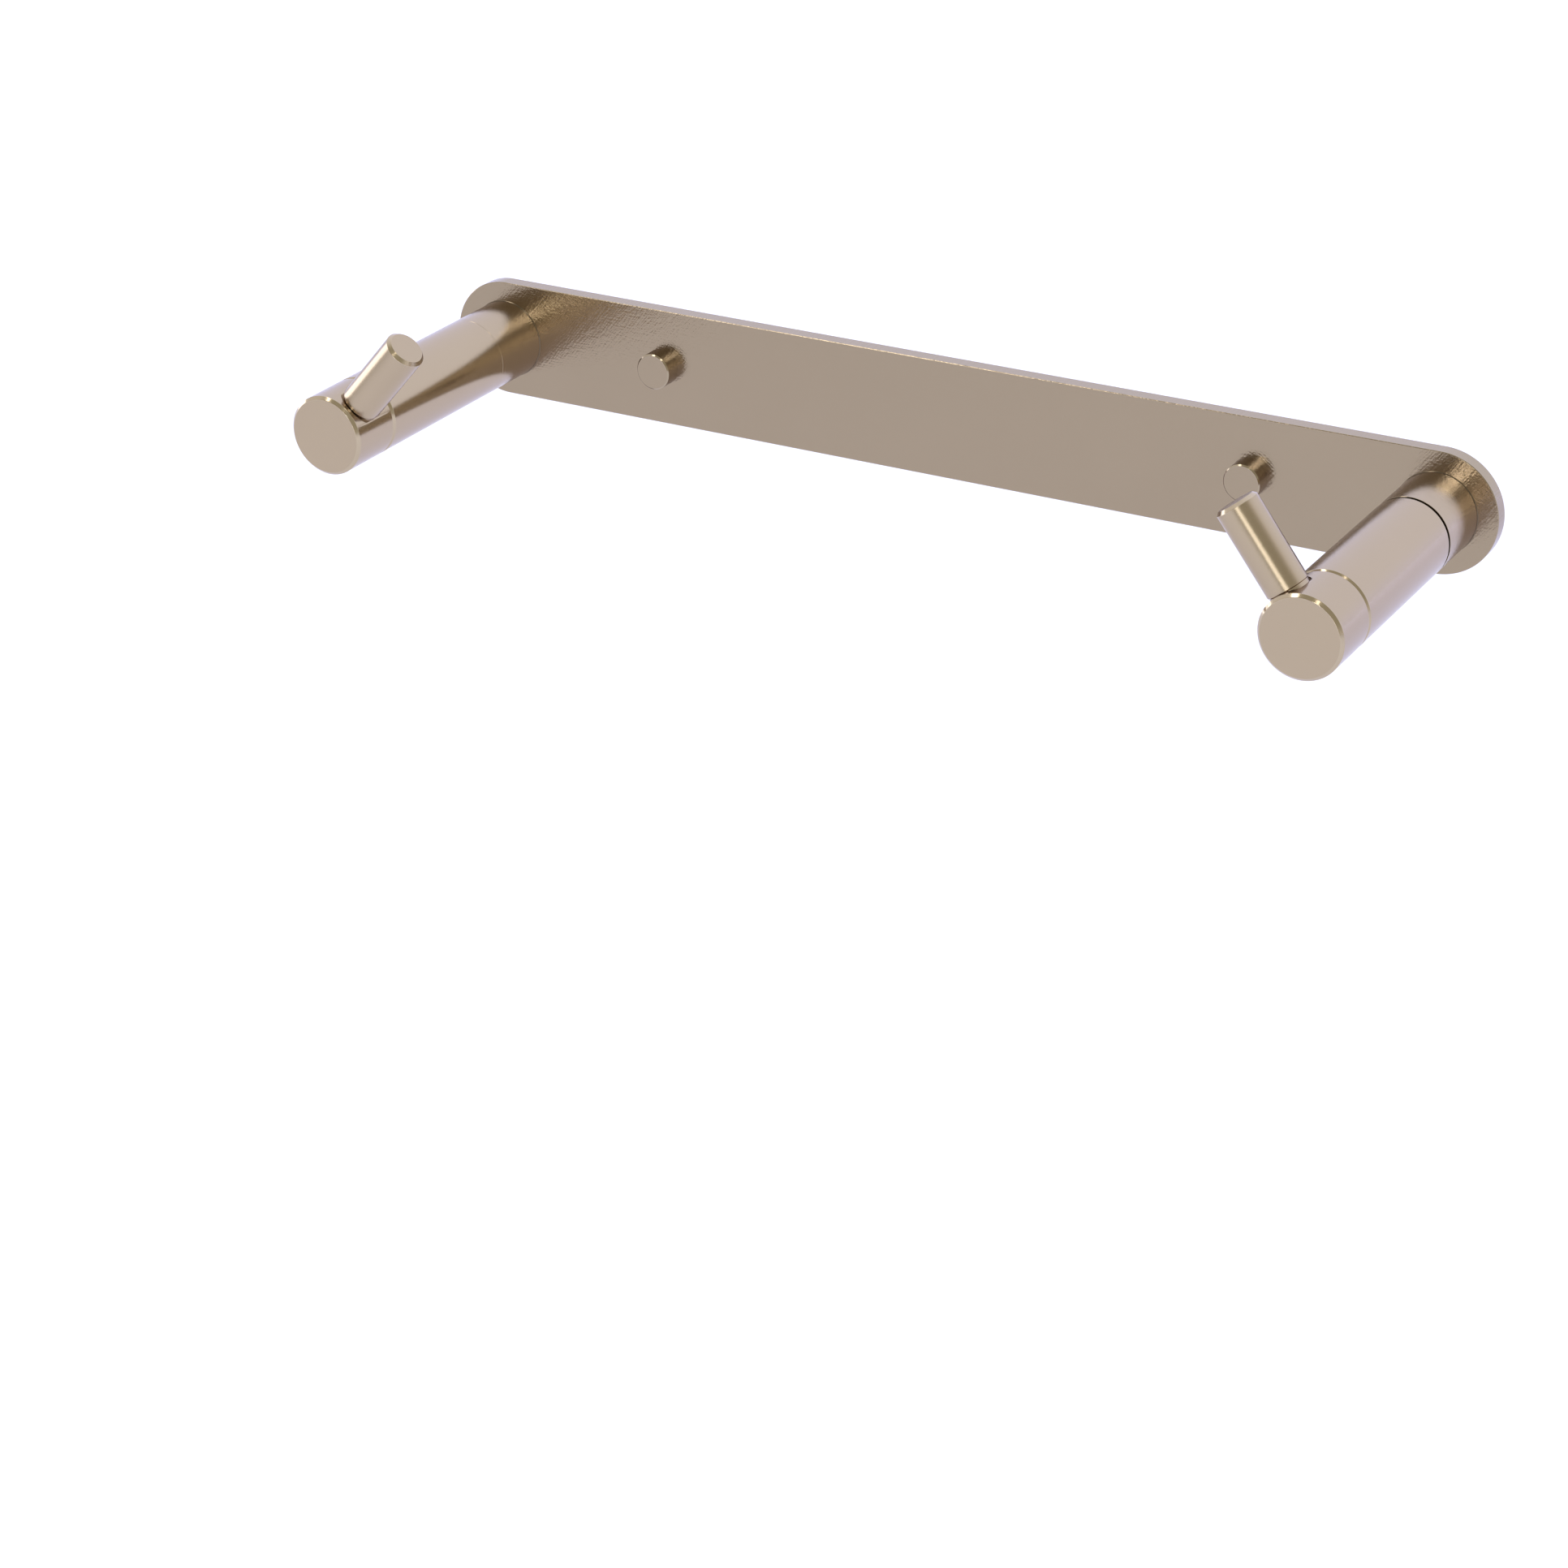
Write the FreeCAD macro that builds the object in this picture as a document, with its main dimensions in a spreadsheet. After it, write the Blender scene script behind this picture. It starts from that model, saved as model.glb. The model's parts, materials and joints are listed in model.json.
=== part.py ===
import FreeCAD, Part
import os
import Sketcher

# Wall-mounted paper towel holder.
#
# A stadium-shaped back plate carries two round posts.  Each post is a stack of turned pieces:
# a base collar against the plate, a hollow body, and at the front a short head that turns about
# the post's own axis.  A roll pin stands on the side of each head.  Swung level, the two pins
# point at each other and hold the core of a roll; swung up, they let the roll out.
#
# Frame: the origin is the middle of the plate's back face.  +X runs to the right along the
# plate, +Y goes into the wall, +Z is up.  The posts stand out towards -Y.
# Every piece that lies on a post is drawn in the post's own frame, where Z is the distance from
# the wall, so one length counts from the wall in all of them.

doc = FreeCAD.newDocument("paper_towel_holder")
sheet = doc.addObject("Spreadsheet::Sheet", "sizes")

SIZES = {
    # back plate
    "post_spacing": 322.0,
    "plate_height": 38.0,
    "plate_thick": 5.0,
    "plate_edge": 0.4,
    # posts
    "post_dia": 25.4,
    "reach": 106.6,
    "collar_length": 22.0,
    "spacer_thick": 1.2,
    "spacer_dia": 22.0,
    "head_length": 18.4,
    "seam_gap": 0.4,
    "edge_break": 0.3,
    "seam_edge": 0.9,
    "face_edge": 0.9,
    "cavity_dia": 17.0,
    "front_wall": 9.0,
    # fixing screw through plate, collar and insert
    "screw_dia": 6.0,
    "screw_hole": 6.6,
    "screw_head_dia": 12.0,
    "screw_head_sink": 0.2,
    "screw_tip": 39.0,
    "screw_socket": 4.0,
    "screw_socket_depth": 2.4,
    "insert_inset": 0.5,
    "insert_length": 12.0,
    "thread_play": 0.05,
    "thread_lead": 0.5,
    # pivot of the head
    "pivot_dia": 8.0,
    "pivot_play": 0.05,
    "pivot_thread_dia": 6.0,
    "pivot_head_depth": 6.5,
    "pivot_tail": 6.0,
    "bush_dia": 11.0,
    "flange_dia": 14.0,
    "flange_thick": 1.4,
    "washer_dia": 15.0,
    "washer_thick": 1.0,
    "spring_height": 1.0,
    "spring_thick": 0.5,
    "nut_width": 10.0,
    "nut_height": 5.0,
    # stop that limits the swing
    "stop_dia": 3.0,
    "stop_radius": 9.2,
    "stop_seat": 5.0,
    "stop_tail": 3.0,
    "slot_depth": 3.6,
    "slot_play": 0.2,
    "swing_travel": 90.0,
    # roll pin
    "pin_dia": 12.7,
    "pin_tip": 40.0,
    "pin_foot": 11.2,
    "pin_setback": 8.8,
    "pin_neck_step": 0.35,
    "pin_neck_top": 12.8,
    "pin_tip_edge": 1.0,
    "spot_dia": 13.5,
    "stud_dia": 6.0,
    "stud_foot": 3.8,
    "stud_end": 21.0,
    "left_raise": 49.0,
    "right_raise": 53.0,
    # screw caps on the plate
    "cap_spacing": 204.0,
    "cap_dia": 11.8,
    "cap_length": 5.5,
    "cap_edge": 0.4,
    "cap_wall": 1.2,
    "cap_roof": 1.1,
    "seat_height": 2.8,
    "wall_hole": 5.0,
    "seat_hole": 4.5,
    "seat_sink": 8.4,
}

for row, (word, number) in enumerate(SIZES.items(), start=1):
    sheet.set(f"A{row}", word)
    sheet.set(f"B{row}", str(number))
    sheet.setAlias(f"B{row}", word)
doc.recompute()

# Lengths along a post, all counted from the wall.
COLLAR_END = "(sizes.plate_thick + sizes.collar_length)"
HEAD_REAR = "(sizes.reach - sizes.head_length)"
BODY_FRONT = f"({HEAD_REAR} - sizes.seam_gap)"
WALL_INSIDE = f"({BODY_FRONT} - sizes.front_wall)"
SPRING_TOP = f"({WALL_INSIDE} - sizes.washer_thick)"
NUT_TOP = f"({SPRING_TOP} - sizes.spring_height)"
PIN_HEIGHT = "(sizes.reach - sizes.pin_setback)"
BODY_REAR = {"left": COLLAR_END, "right": f"({COLLAR_END} + sizes.spacer_thick)"}
SIDES = {"left": -1, "right": 1}

nodes = {}


def size(expression):
    """Number that an expression on the sheet's cells has now."""
    return float(sheet.evalExpression(expression))


def plane(body, role):
    """One of the body's own origin planes, found by its role."""
    return next(item for item in body.Origin.OriginFeatures if item.Role == role)


def new_body(name):
    return doc.addObject("PartDesign::Body", name)


def tie(sketch, direction, geometry, point, expression):
    """Hold one coordinate of a sketch point at an expression on the sheet's cells."""
    value = size(expression)
    axis = -2 if direction == "DistanceX" else -1
    if abs(value) < 1e-9:
        sketch.addConstraint(Sketcher.Constraint("PointOnObject", geometry, point, axis))
        return
    if value > 0:
        ends = (-1, 1, geometry, point)
    else:
        ends = (geometry, point, -1, 1)
        expression = f"-({expression})"
    number = sketch.addConstraint(Sketcher.Constraint(direction, *ends, abs(value)))
    sketch.setExpression(f"Constraints[{number}]", expression)


def outline(body, name, role, corners):
    """Closed sketch of straight lines whose corners are pairs of expressions."""
    sketch = body.newObject("Sketcher::SketchObject", name)
    sketch.AttachmentSupport = (plane(body, role), [""])
    sketch.MapMode = "FlatFace"
    points = [FreeCAD.Vector(size(across), size(along), 0) for across, along in corners]
    count = len(points)
    for index in range(count):
        sketch.addGeometry(Part.LineSegment(points[index], points[(index + 1) % count]))
    for index in range(count):
        sketch.addConstraint(Sketcher.Constraint("Coincident", index, 2, (index + 1) % count, 1))
    for index, (across, along) in enumerate(corners):
        tie(sketch, "DistanceX", index, 1, across)
        tie(sketch, "DistanceY", index, 1, along)
    return sketch


def revolve(body, corners):
    """Turned solid: the outline (radius, distance) spun about the body's Z axis."""
    sketch = outline(body, f"{body.Name}_profile", "XZ_Plane", corners)
    feature = body.newObject("PartDesign::Revolution", f"{body.Name}_turned")
    feature.Profile = sketch
    feature.ReferenceAxis = (sketch, ["V_Axis"])
    feature.Angle = 360.0
    doc.recompute()
    return feature


def groove(body, name, role, corners, axis, shift=None, turn=0.0, sweep=None):
    """Cut an outline spun about the sketch's own axis; shift and turn place that axis."""
    before = body.Shape.Volume
    sketch = outline(body, f"{body.Name}_{name}_profile", role, corners)
    sketch.AttachmentOffset = FreeCAD.Placement(
        FreeCAD.Vector(0, 0, 0), FreeCAD.Rotation(FreeCAD.Vector(0, 1, 0), turn)
    )
    for letter, expression in (shift or {}).items():
        sketch.setExpression(f"AttachmentOffset.Base.{letter}", expression)
    feature = body.newObject("PartDesign::Groove", f"{body.Name}_{name}")
    feature.Profile = sketch
    feature.ReferenceAxis = (sketch, [axis])
    feature.Angle = 360.0
    if sweep:
        feature.Midplane = True
        feature.setExpression("Angle", sweep)
    doc.recompute()
    if body.Shape.Volume > before - 0.01:
        raise RuntimeError(f"{name} cuts nothing from {body.Label}")
    return feature


def keep(name, item, placement=FreeCAD.Placement()):
    """Name a finished piece as a node of the holder and put it in its place."""
    item.Label = name
    item.Placement = placement
    nodes[name] = item


def post_place(side):
    """Frame of a post: Z runs from the wall to the front, X stays level."""
    across = SIDES[side] * size("sizes.post_spacing / 2")
    return FreeCAD.Placement(
        FreeCAD.Vector(across, 0, 0), FreeCAD.Rotation(FreeCAD.Vector(1, 0, 0), 90)
    )


def head_place(side):
    """Frame of a head: the post's frame turned so that X runs along the raised roll pin."""
    raised = size(f"sizes.{side}_raise")
    angle = raised if side == "left" else 180.0 - raised
    turn = FreeCAD.Rotation(FreeCAD.Vector(0, 0, 1), angle)
    return post_place(side) * FreeCAD.Placement(FreeCAD.Vector(0, 0, 0), turn)


def pin_place(side):
    """Frame of a roll pin: Z runs out along the pin from the post's axis."""
    up = FreeCAD.Placement(
        FreeCAD.Vector(0, 0, size(PIN_HEIGHT)), FreeCAD.Rotation(FreeCAD.Vector(0, 1, 0), 90)
    )
    return head_place(side) * up


def hexagon(name, width, height, start):
    """Six-sided prism across the flats, standing on the distance start."""
    prism = doc.addObject("Part::Prism", name)
    prism.Polygon = 6
    prism.setExpression("Circumradius", f"{width} / sqrt(3)")
    prism.setExpression("Height", height)
    prism.setExpression("Placement.Base.z", start)
    return prism


def cut(name, base, tool):
    """Boolean difference of two objects."""
    feature = doc.addObject("Part::Cut", name)
    feature.Base = base
    feature.Tool = tool
    doc.recompute()
    return feature


def ring(inner, outer, low, high):
    """Outline of a plain ring: inner and outer radius, lower and upper distance."""
    return [(inner, low), (outer, low), (outer, high), (inner, high)]


# ---------------------------------------------------------------------------------------------
# Back plate: a stadium with a fine chamfer round its front face.
# ---------------------------------------------------------------------------------------------
def make_back_plate():
    body = new_body("back_plate_body")
    sketch = body.newObject("Sketcher::SketchObject", "plate_outline")
    sketch.AttachmentSupport = (plane(body, "XZ_Plane"), [""])
    sketch.MapMode = "FlatFace"
    half = size("sizes.post_spacing / 2")
    radius = size("sizes.plate_height / 2")
    up = FreeCAD.Vector(0, 0, 1)
    quarter = 1.5707963267948966
    right_end = Part.Circle(FreeCAD.Vector(half, 0, 0), up, radius)
    left_end = Part.Circle(FreeCAD.Vector(-half, 0, 0), up, radius)
    sketch.addGeometry(Part.ArcOfCircle(right_end, -quarter, quarter))
    sketch.addGeometry(Part.LineSegment(FreeCAD.Vector(half, radius, 0), FreeCAD.Vector(-half, radius, 0)))
    sketch.addGeometry(Part.ArcOfCircle(left_end, quarter, 3 * quarter))
    sketch.addGeometry(Part.LineSegment(FreeCAD.Vector(-half, -radius, 0), FreeCAD.Vector(half, -radius, 0)))
    for index in range(4):
        sketch.addConstraint(Sketcher.Constraint("Tangent", index, 2, (index + 1) % 4, 1))
    sketch.addConstraint(Sketcher.Constraint("Equal", 0, 2))
    tie(sketch, "DistanceY", 0, 3, "0")
    tie(sketch, "DistanceY", 2, 3, "0")
    tie(sketch, "DistanceX", 0, 3, "sizes.post_spacing / 2")
    tie(sketch, "DistanceX", 2, 3, "-sizes.post_spacing / 2")
    number = sketch.addConstraint(Sketcher.Constraint("Radius", 0, radius))
    sketch.setExpression(f"Constraints[{number}]", "sizes.plate_height / 2")

    pad = body.newObject("PartDesign::Pad", "plate_pad")
    pad.Profile = sketch
    pad.setExpression("Length", "sizes.plate_thick")
    doc.recompute()

    front = -size("sizes.plate_thick")
    rim = [
        f"Edge{number}"
        for number, edge in enumerate(pad.Shape.Edges, start=1)
        if all(abs(vertex.Point.y - front) < 1e-6 for vertex in edge.Vertexes)
    ]
    chamfer = body.newObject("PartDesign::Chamfer", "plate_rim")
    chamfer.Base = (pad, rim)
    chamfer.setExpression("Size", "sizes.plate_edge")
    doc.recompute()

    head_radius = "(sizes.screw_head_dia / 2 + sizes.screw_head_sink)"
    hole_radius = "sizes.screw_hole / 2"
    post_hole = groove(
        body, "post_hole", "XY_Plane",
        [
            ("0", "0"),
            (head_radius, "0"),
            (hole_radius, f"-({head_radius} - {hole_radius})"),
            (hole_radius, "-sizes.plate_thick"),
            ("0", "-sizes.plate_thick"),
        ],
        "V_Axis", {"x": "sizes.post_spacing / 2"},
    )
    wall_hole = groove(
        body, "wall_hole", "XY_Plane",
        ring("0", "sizes.wall_hole / 2", "-sizes.plate_thick", "0"),
        "V_Axis", {"x": "sizes.cap_spacing / 2"},
    )
    mirrored = body.newObject("PartDesign::Mirrored", "plate_holes_mirrored")
    mirrored.Originals = [post_hole, wall_hole]
    mirrored.MirrorPlane = (plane(body, "YZ_Plane"), [""])
    body.Tip = mirrored
    doc.recompute()
    keep("back_plate", body)


# ---------------------------------------------------------------------------------------------
# Fixed pieces of a post.
# ---------------------------------------------------------------------------------------------
def make_base_collar(side):
    body = new_body(f"{side}_base_collar_body")
    radius = "sizes.post_dia / 2"
    bore = "sizes.screw_hole / 2"
    revolve(body, [
        (bore, "sizes.plate_thick"),
        (f"{radius} - sizes.edge_break", "sizes.plate_thick"),
        (radius, "sizes.plate_thick + sizes.edge_break"),
        (radius, f"{COLLAR_END} - sizes.edge_break"),
        (f"{radius} - sizes.edge_break", COLLAR_END),
        (bore, COLLAR_END),
    ])
    keep(f"{side}_base_collar", body, post_place(side))


def make_spacer_washer(side):
    body = new_body(f"{side}_spacer_washer_body")
    revolve(body, ring("sizes.screw_hole / 2", "sizes.spacer_dia / 2", COLLAR_END, BODY_REAR[side]))
    keep(f"{side}_spacer_washer", body, post_place(side))


def make_post_body(side):
    """Hollow tube with a thick front wall that holds the pivot's bush and the stop's arc slot."""
    body = new_body(f"{side}_post_body_body")
    rear = BODY_REAR[side]
    radius = "sizes.post_dia / 2"
    cavity = "sizes.cavity_dia / 2"
    bush = "sizes.bush_dia / 2 + sizes.thread_play"
    flange = "sizes.flange_dia / 2 + sizes.thread_play"
    recess = f"{HEAD_REAR} - sizes.flange_thick"
    revolve(body, [
        (cavity, rear),
        (f"{radius} - sizes.edge_break", rear),
        (radius, f"{rear} + sizes.edge_break"),
        (radius, f"{BODY_FRONT} - sizes.seam_edge"),
        (f"{radius} - sizes.seam_edge", BODY_FRONT),
        (flange, BODY_FRONT),
        (flange, recess),
        (bush, recess),
        (bush, WALL_INSIDE),
        (cavity, WALL_INSIDE),
    ])
    half_width = "(sizes.stop_dia / 2 + sizes.slot_play)"
    floor = f"{BODY_FRONT} - sizes.slot_depth"
    sign = SIDES[side]
    middle = -45.0 if side == "right" else -135.0
    groove(
        body, "slot_arc", "XZ_Plane",
        ring(f"sizes.stop_radius - {half_width}", f"sizes.stop_radius + {half_width}", floor, BODY_FRONT),
        "V_Axis", turn=middle, sweep="sizes.swing_travel",
    )
    end = ring("0", half_width, floor, BODY_FRONT)
    groove(body, "slot_side_end", "XZ_Plane", end, "V_Axis", {"x": f"{sign} * sizes.stop_radius"})
    groove(body, "slot_lower_end", "YZ_Plane", end, "V_Axis", {"x": "-sizes.stop_radius"})
    keep(f"{side}_post_body", body, post_place(side))


def make_post_insert(side):
    """Threaded plug in the rear of the post body, which the fixing screw pulls on."""
    body = new_body(f"{side}_post_insert_body")
    start = f"{BODY_REAR[side]} + sizes.insert_inset"
    revolve(body, ring(
        "sizes.screw_dia / 2 + sizes.thread_play", "sizes.cavity_dia / 2 - sizes.thread_play",
        start, f"{start} + sizes.insert_length",
    ))
    keep(f"{side}_post_insert", body, post_place(side))


def make_post_screw(side):
    """Countersunk socket screw from behind the plate, through the collar into the insert."""
    body = new_body(f"{side}_post_screw_body")
    head = "sizes.screw_head_dia / 2"
    shank = "sizes.screw_dia / 2"
    top = "sizes.screw_head_sink"
    revolve(body, [
        ("0", top),
        (head, top),
        (shank, f"{top} + {head} - {shank}"),
        (shank, "sizes.screw_tip - sizes.thread_lead"),
        (f"{shank} - sizes.thread_lead", "sizes.screw_tip"),
        ("0", "sizes.screw_tip"),
    ])
    socket = hexagon(f"{side}_post_screw_socket", "sizes.screw_socket", "sizes.screw_socket_depth", top)
    keep(f"{side}_post_screw", cut(f"{side}_post_screw_cut", body, socket), post_place(side))


def make_pivot_bush(side):
    body = new_body(f"{side}_pivot_bush_body")
    bore = "sizes.pivot_dia / 2 + sizes.pivot_play"
    step = f"{HEAD_REAR} - sizes.flange_thick"
    revolve(body, [
        (bore, WALL_INSIDE),
        ("sizes.bush_dia / 2", WALL_INSIDE),
        ("sizes.bush_dia / 2", step),
        ("sizes.flange_dia / 2", step),
        ("sizes.flange_dia / 2", HEAD_REAR),
        (bore, HEAD_REAR),
    ])
    keep(f"{side}_pivot_bush", body, post_place(side))


def make_thrust_washer(side):
    body = new_body(f"{side}_thrust_washer_body")
    bore = "sizes.pivot_dia / 2 + sizes.pivot_play"
    revolve(body, ring(bore, "sizes.washer_dia / 2", SPRING_TOP, WALL_INSIDE))
    keep(f"{side}_thrust_washer", body, post_place(side))


# ---------------------------------------------------------------------------------------------
# Pieces that turn with a head.
# ---------------------------------------------------------------------------------------------
def make_disc_spring(side):
    """Coned washer that keeps the pivot stiff, so a raised pin stays where it is put."""
    body = new_body(f"{side}_disc_spring_body")
    inner = "sizes.pivot_dia / 2 + sizes.pivot_play"
    outer = "sizes.washer_dia / 2"
    revolve(body, [
        (inner, NUT_TOP),
        (outer, f"{SPRING_TOP} - sizes.spring_thick"),
        (outer, SPRING_TOP),
        (inner, f"{NUT_TOP} + sizes.spring_thick"),
    ])
    keep(f"{side}_disc_spring", body, head_place(side))


def make_pivot_stud(side):
    """Shouldered stud: screwed into the head in front, and held by a nut behind the wall."""
    body = new_body(f"{side}_pivot_stud_body")
    shoulder = "sizes.pivot_dia / 2"
    thread = "sizes.pivot_thread_dia / 2"
    tail = f"{NUT_TOP} - sizes.pivot_tail"
    nose = f"{HEAD_REAR} + sizes.pivot_head_depth"
    revolve(body, [
        ("0", tail),
        (f"{thread} - sizes.edge_break", tail),
        (thread, f"{tail} + sizes.edge_break"),
        (thread, NUT_TOP),
        (shoulder, NUT_TOP),
        (shoulder, HEAD_REAR),
        (thread, HEAD_REAR),
        (thread, nose),
        ("0", nose),
    ])
    keep(f"{side}_pivot_stud", body, head_place(side))


def make_pivot_nut(side):
    """Lock nut that bears on the stud's shoulder and holds the disc spring."""
    start = f"{NUT_TOP} - sizes.nut_height"
    blank = hexagon(f"{side}_pivot_nut_blank", "sizes.nut_width", "sizes.nut_height", start)
    hole = doc.addObject("Part::Cylinder", f"{side}_pivot_nut_hole")
    hole.setExpression("Radius", "sizes.pivot_thread_dia / 2 + sizes.thread_play")
    hole.setExpression("Height", "sizes.nut_height")
    hole.setExpression("Placement.Base.z", start)
    keep(f"{side}_pivot_nut", cut(f"{side}_pivot_nut_cut", blank, hole), head_place(side))


def make_swivel_head(side):
    """Closed front of the post, with the spot face and the thread that take the roll pin."""
    body = new_body(f"{side}_swivel_head_body")
    radius = "sizes.post_dia / 2"
    thread = "sizes.pivot_thread_dia / 2 + sizes.thread_play"
    well = f"{HEAD_REAR} + sizes.pivot_head_depth + sizes.thread_lead"
    revolve(body, [
        ("0", well),
        (thread, well),
        (thread, HEAD_REAR),
        (f"{radius} - sizes.edge_break", HEAD_REAR),
        (radius, f"{HEAD_REAR} + sizes.edge_break"),
        (radius, "sizes.reach - sizes.face_edge"),
        (f"{radius} - sizes.face_edge", "sizes.reach"),
        ("0", "sizes.reach"),
    ])
    stud = "sizes.stud_dia / 2 + sizes.thread_play"
    groove(
        body, "pin_seat", "XZ_Plane",
        [
            ("sizes.stud_foot", "0"),
            ("sizes.stud_foot", stud),
            ("sizes.pin_foot", stud),
            ("sizes.pin_foot", "sizes.spot_dia / 2"),
            ("sizes.post_dia", "sizes.spot_dia / 2"),
            ("sizes.post_dia", "0"),
        ],
        "H_Axis", {"y": PIN_HEIGHT},
    )
    groove(
        body, "stop_hole", "XZ_Plane",
        ring("0", "sizes.stop_dia / 2 + sizes.thread_play", HEAD_REAR, f"{HEAD_REAR} + sizes.stop_seat"),
        "V_Axis", {"x": "-sizes.stop_radius"},
    )
    keep(f"{side}_swivel_head", body, head_place(side))


def make_stop_pin(side):
    """Dowel in the head's rear face, opposite the roll pin; its tail runs in the arc slot."""
    body = new_body(f"{side}_stop_pin_body")
    tail = f"{HEAD_REAR} - sizes.seam_gap - sizes.stop_tail"
    revolve(body, ring("0", "sizes.stop_dia / 2", tail, f"{HEAD_REAR} + sizes.stop_seat"))
    shift = FreeCAD.Placement(
        FreeCAD.Vector(-size("sizes.stop_radius"), 0, 0), FreeCAD.Rotation()
    )
    keep(f"{side}_stop_pin", body, head_place(side) * shift)


def make_roll_pin(side):
    """Plain pin on a narrower neck that stands in the head, with a blind thread in its foot."""
    body = new_body(f"{side}_roll_pin_body")
    radius = "sizes.pin_dia / 2"
    neck = f"{radius} - sizes.pin_neck_step"
    thread = "sizes.stud_dia / 2 + sizes.thread_play"
    well = "sizes.stud_end + sizes.thread_lead"
    revolve(body, [
        (thread, "sizes.pin_foot"),
        (neck, "sizes.pin_foot"),
        (neck, "sizes.pin_neck_top - sizes.pin_neck_step"),
        (radius, "sizes.pin_neck_top"),
        (radius, "sizes.pin_tip - sizes.pin_tip_edge"),
        (f"{radius} - sizes.pin_tip_edge", "sizes.pin_tip"),
        ("0", "sizes.pin_tip"),
        ("0", well),
        (thread, well),
    ])
    keep(f"{side}_roll_pin", body, pin_place(side))


def make_pin_stud(side):
    """Headless screw that joins the roll pin to the head."""
    body = new_body(f"{side}_pin_stud_body")
    radius = "sizes.stud_dia / 2"
    foot = "sizes.stud_foot + sizes.edge_break"
    revolve(body, [
        ("0", foot),
        (f"{radius} - sizes.edge_break", foot),
        (radius, f"{foot} + sizes.edge_break"),
        (radius, "sizes.stud_end - sizes.edge_break"),
        (f"{radius} - sizes.edge_break", "sizes.stud_end"),
        ("0", "sizes.stud_end"),
    ])
    keep(f"{side}_pin_stud", body, pin_place(side))


# ---------------------------------------------------------------------------------------------
# Caps that hide the wall screws.
# ---------------------------------------------------------------------------------------------
def cap_place(side):
    """Frame of a cap: like a post's, but on the plate's screw hole."""
    across = SIDES[side] * size("sizes.cap_spacing / 2")
    return FreeCAD.Placement(
        FreeCAD.Vector(across, 0, 0), FreeCAD.Rotation(FreeCAD.Vector(1, 0, 0), 90)
    )


def make_cap_seat(side):
    """Threaded ring on the plate; the wall screw's head sinks into it and clamps it."""
    body = new_body(f"{side}_cap_seat_body")
    top = "sizes.plate_thick + sizes.seat_height"
    outer = "sizes.cap_dia / 2 - sizes.cap_wall - sizes.thread_play"
    bore = "sizes.seat_hole / 2"
    sink = "sizes.seat_sink / 2"
    revolve(body, [
        (bore, "sizes.plate_thick"),
        (outer, "sizes.plate_thick"),
        (outer, top),
        (sink, top),
        (bore, f"{top} - {sink} + {bore}"),
    ])
    keep(f"{side}_cap_seat", body, cap_place(side))


def make_screw_cap(side):
    """Cup that screws onto the seat, down to the plate."""
    body = new_body(f"{side}_screw_cap_body")
    radius = "sizes.cap_dia / 2"
    inner = f"{radius} - sizes.cap_wall"
    top = "sizes.plate_thick + sizes.cap_length"
    revolve(body, [
        (inner, "sizes.plate_thick"),
        (f"{radius} - sizes.edge_break", "sizes.plate_thick"),
        (radius, "sizes.plate_thick + sizes.edge_break"),
        (radius, f"{top} - sizes.cap_edge"),
        (f"{radius} - sizes.cap_edge", top),
        ("0", top),
        ("0", f"{top} - sizes.cap_roof"),
        (inner, f"{top} - sizes.cap_roof"),
    ])
    keep(f"{side}_screw_cap", body, cap_place(side))


make_back_plate()
make_spacer_washer("right")
FOR_EACH_SIDE = (
    make_base_collar, make_post_body, make_post_insert, make_post_screw, make_pivot_bush,
    make_thrust_washer, make_disc_spring, make_pivot_stud, make_pivot_nut, make_swivel_head,
    make_stop_pin, make_roll_pin, make_pin_stud, make_cap_seat, make_screw_cap,
)
for side in SIDES:
    for make in FOR_EACH_SIDE:
        make(side)
doc.recompute()

# ---------------------------------------------------------------------------------------------
# Check every object, then write one file for each node.
# ---------------------------------------------------------------------------------------------
for item in doc.Objects:
    if "Invalid" in item.State or "Error" in item.State:
        raise RuntimeError(f"{item.Label} failed: {item.State}")
for name, item in nodes.items():
    if item.Shape.isNull() or not item.Shape.isValid() or not item.Shape.Solids:
        raise RuntimeError(f"{name} has no valid solid")

os.makedirs("parts", exist_ok=True)
for name, item in nodes.items():
    item.Shape.exportStep(f"parts/{name}.step")
    print(f"{name:24s} {item.Shape.Volume:10.1f} mm3")
print(len(nodes), "nodes")
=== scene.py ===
# %% [markdown]
# # A paper towel holder with two swinging pins
#
# The real holder is turned and milled brass with a warm, satin bronze plating. A long plate sits
# on the wall, two round posts stand out of it, and each post ends in a head that turns and carries
# a short pin for the roll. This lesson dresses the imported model: the frame gives every place and
# most sizes, and each cell makes one kind of piece or one finish.

# %% Load the frame
import json
import math

import bmesh
import bpy
import numpy as np
from mathutils import Matrix, Vector


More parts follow.
